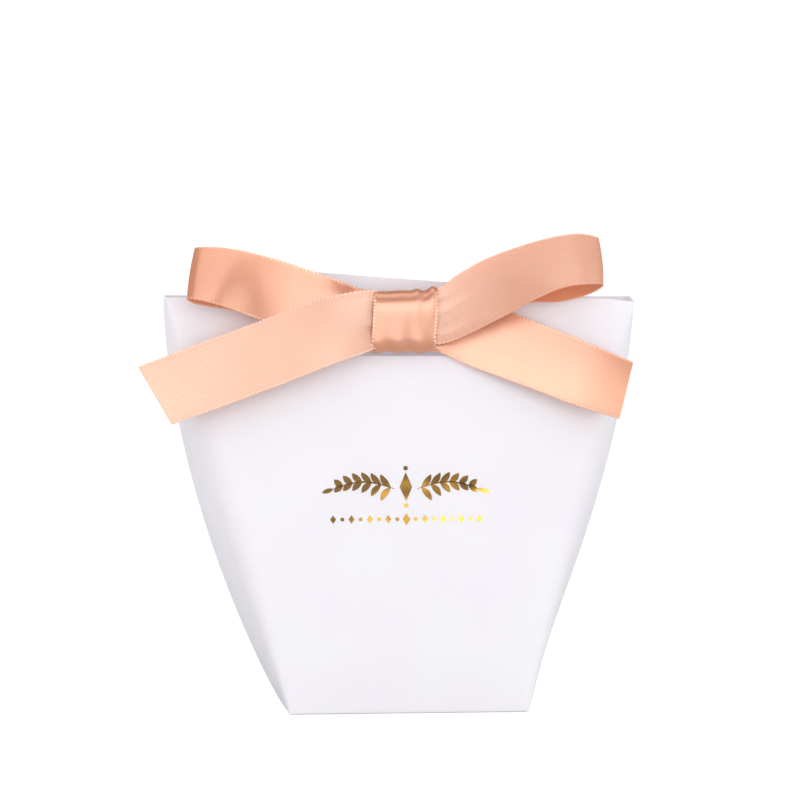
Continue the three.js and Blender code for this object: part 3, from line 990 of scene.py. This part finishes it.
def glue_seam():
    """The glued strip along the crease inside the back panel, its ends cut aslant."""
    across = np.linspace(0, 1, 9)[None, :]
    foot = 4.0 + 3.0 * across
    top = SLANT - 2.0 - 3.0 * across
    v = foot + (top - foot) * np.linspace(0, 1, 60)[:, None]
    z = v * COS_LEAN
    x = half_width(z) - crease_reach(z) - 0.3 - (GLUE_WIDTH - 2.0) * across
    points = on_back(x, v, panel_swell(x, v) - BOARD - 0.03)
    both, faces = shell_of(points, BOARD)
    piece("seam_board", both + HALF_BOARD_IN, faces, paper, replaces=["glue_flap"])


base_board()
dust_flap("left", -1)
dust_flap("right", 1)
glue_seam()


# The foil ornament

def leaf(root, direction, length, width, bend=0.0):
    """A pointed leaf on the front panel: half as wide as sin to the power 0.8, bent aside by a parabola."""
    t = np.linspace(0.0, 1.0, 15)[:, None]
    u = np.linspace(-1, 1, 7)[None, :]
    forward = np.array([math.cos(direction), math.sin(direction)])
    aside = np.array([-forward[1], forward[0]])
    half = width / 2 * np.sin(math.pi * (0.02 + 0.96 * t)) ** 0.8
    place = np.array(root) + (length * t)[..., None] * forward
    place = place + (half * u + bend * length * t * (1 - t) * 4)[..., None] * aside
    return place[..., 0], place[..., 1]


def stroke(line, width):
    """A thin line on the front panel along points (x, v), thinning at its ends."""
    line = np.asarray(line, float)
    flow = np.gradient(line, axis=0)
    flow = flow / np.linalg.norm(flow, axis=1, keepdims=True)
    aside = np.stack([-flow[:, 1], flow[:, 0]], -1)
    half = width / 2 * (0.35 + 0.65 * np.sin(math.pi * np.linspace(0, 1, len(line))))
    spread = np.linspace(-1, 1, 3)[None, :, None] * (half[:, None] * aside)[:, None]
    place = line[:, None] + spread
    return place[..., 0], place[..., 1]


def lozenge(middle, width, height, power=1.0):
    """A lozenge on the front panel, or a dot where the power is 2."""
    angle = np.linspace(0, 2 * math.pi, 25)[:, None]
    c, s = np.cos(angle), np.sin(angle)
    size = np.linspace(0.02, 1, 4)[None, :] / (np.abs(c) ** power + np.abs(s) ** power) ** (1 / power)
    return middle[0] + width / 2 * c * size, middle[1] + height / 2 * s * size


def dot(middle, size):
    """A round dot on the front panel."""
    return lozenge(middle, size, size, 2.0)


def ornament():
    """A laurel sprig to each side of a lozenge, over a row of lozenges and dots, as foil on the front."""
    cx, cv = FOIL_MIDDLE
    marks = [lozenge((cx, cv), 3.6, 8.2), dot((cx, cv + 5.3), 1.3), dot((cx, cv - 5.3), 1.3)]
    for side in (-1, 1):
        t = np.linspace(0, 1, 40)
        stem_x = STEM_START + STEM_LENGTH * t
        stem_v = cv + 1.6 * np.sin(math.pi * t * 1.15 - 0.25) - 0.2
        marks.append(stroke(np.stack([cx + side * stem_x, stem_v], -1), 0.5))
        for number in range(LEAF_PAIRS):
            share = 0.07 + 0.155 * number
            root_x, root_v = np.interp(share, t, stem_x), np.interp(share, t, stem_v)
            length = 4.6 - 0.32 * number
            for turn in (-1, 1):
                direction = turn * (0.92 - 0.06 * number)
                direction = direction if side > 0 else math.pi - direction
                marks.append(leaf((cx + side * root_x, root_v), direction, length, 1.75, -0.06 * turn * side))
        end = math.radians(-18)
        marks.append(leaf((cx + side * stem_x[-1], stem_v[-1]), end if side > 0 else math.pi - end, 3.4, 1.3))
        for number in range(ROW_MARKS):
            place = (cx + side * ROW_PITCH * (number + 1), cv - FOIL_DROP)
            marks.append(lozenge(place, 1.7, 2.4) if number % 2 else dot(place, 1.1))
    marks.append(lozenge((cx, cv - FOIL_DROP), 2.2, 3.4))

    points, faces, count = [], [], 0
    for x, v in marks:
        grid = on_front(x, v, panel_swell(x, v) + 0.02)
        both, quads = shell_of(grid, FOIL_THICKNESS)
        points.append(both)
        faces.append(quads + count)
        count += len(both)
    piece("foil_ornament", np.concatenate(points), np.concatenate(faces), foil)


ornament()


# Lights, floor and camera

CAMERA_DISTANCE = 1000.0
CAMERA_YAW = 7.0
CAMERA_ELEVATION = 6.2
CAMERA_ROLL = 0.68
CAMERA_LENS = 156.8
CAMERA_TARGET = np.array([0.3, 0.0, 84.8])

# The room's even light, and how bright the room is where something mirrors it
ROOM_LIGHT = 1.13
ROOM_MIRRORED = 0.24

# Softboxes as name, place, aim, size and power: those that light the bag, and those that it only mirrors
LIGHTING = [
    ("left_light", (-760, -1000, 230), (0, 0, 70), (800, 800), 3.4),
    ("right_light", (820, -950, 230), (0, 0, 70), (800, 800), 3.8),
    ("back_light", (0, 1150, 450), (0, 0, 80), (900, 900), 4.9),
]
MIRRORED = [
    ("top_light", (0, -300, 1300), (0, 0, 100), (700, 500), 2.2),
    ("face_light", (-60, -1100, 350), (0, 0, 80), (620, 600), 4.1),
    ("key_light", (60, -760, 700), (0, 0, 110), (560, 330), 2.7),
    ("side_light", (900, -520, 950), (40, 0, 110), (600, 600), 3.0),
    ("loop_light", (1100, -560, 230), (40, 0, 120), (520, 460), 3.2),
]

# The floor: half its width, its own glow, and the glow's share where the camera sees it
FLOOR_REACH = 3000.0
FLOOR_GLOW = 1.15
FLOOR_GLOW_SHARE = 0.86


def camera():
    """A long lens in front of the bow, a little to its left and above it."""
    yaw, elevation, roll = (math.radians(a) for a in (CAMERA_YAW, CAMERA_ELEVATION, CAMERA_ROLL))
    level = math.cos(elevation)
    look = np.array([math.sin(yaw) * level, math.cos(yaw) * level, -math.sin(elevation)])
    right = np.array([math.cos(yaw), -math.sin(yaw), 0.0])
    up = np.cross(right, look)
    right, up = math.cos(roll) * right + math.sin(roll) * up, math.cos(roll) * up - math.sin(roll) * right
    data = bpy.data.cameras.new("camera")
    data.lens = CAMERA_LENS
    data.clip_start, data.clip_end = 0.05, 20
    thing = bpy.data.objects.new("camera", data)
    bpy.context.collection.objects.link(thing)
    turn = Matrix(np.stack([right, up, -look], 1).tolist()).to_4x4()
    place = (CAMERA_TARGET - CAMERA_DISTANCE * look) * MM
    thing.matrix_world = Matrix.Translation(Vector(place.tolist())) @ turn
    bpy.context.scene.camera = thing


def softbox(name, place, aim, size, power, mirrored):
    """A rectangular light at a place, facing a point: seen only in what mirrors it, or else only lighting."""
    data = bpy.data.lights.new(name, "AREA")
    data.shape = "RECTANGLE"
    data.size, data.size_y = size[0] * MM, size[1] * MM
    data.energy = power
    thing = bpy.data.objects.new(name, data)
    thing.visible_glossy = mirrored
    thing.visible_diffuse = not mirrored
    bpy.context.collection.objects.link(thing)
    start, end = Vector(place) * MM, Vector(aim) * MM
    turn = (end - start).to_track_quat("-Z", "Y").to_matrix().to_4x4()
    thing.matrix_world = Matrix.Translation(start) @ turn


def studio():
    """A white room: even light from all round, softboxes that light the bag, and others for it to mirror."""
    world = bpy.data.worlds.new("studio")
    bpy.context.scene.world = world
    n = Nodes(world)
    path = n.add("ShaderNodeLightPath").outputs
    level = n.math("MULTIPLY_ADD", path["Is Glossy Ray"], ROOM_MIRRORED - ROOM_LIGHT, ROOM_LIGHT)
    level = n.math("MAXIMUM", level, path["Is Camera Ray"])
    background = n.tree.nodes["Background"]
    n.put((1, 1, 1, 1), background.inputs["Color"])
    n.put(level, background.inputs["Strength"])
    for light in LIGHTING:
        softbox(*light, mirrored=False)
    for light in MIRRORED:
        softbox(*light, mirrored=True)


def floor():
    """A white floor, which to the camera is mostly its own glow, so that its shadow shows faintly."""
    points = FLOOR_REACH * np.array([[-1, -1, 0], [1, -1, 0], [1, 1, 0], [-1, 1, 0]])
    mesh = bpy.data.meshes.new("floor")
    mesh.from_pydata((points * MM).tolist(), [], [[0, 1, 2, 3]])
    thing = bpy.data.objects.new("floor", mesh)
    bpy.context.collection.objects.link(thing)
    n = Nodes(bpy.data.materials.new("white_floor"))
    n.finish((0.6, 0.6, 0.6, 1), roughness=0.9, specular_ior_level=0.0)
    glow = n.add("ShaderNodeEmission", {"Color": (1, 1, 1, 1), "Strength": FLOOR_GLOW})
    share = n.math("MULTIPLY", n.add("ShaderNodeLightPath").outputs["Is Camera Ray"], FLOOR_GLOW_SHARE)
    both = n.add("ShaderNodeMixShader", {0: share, 1: n.shader.outputs[0], 2: glow.outputs[0]})
    n.put(both.outputs[0], n.tree.nodes["Material Output"].inputs["Surface"])
    mesh.materials.append(n.holder)


camera()
studio()
floor()

scene = bpy.context.scene
scene.view_settings.view_transform = "Standard"
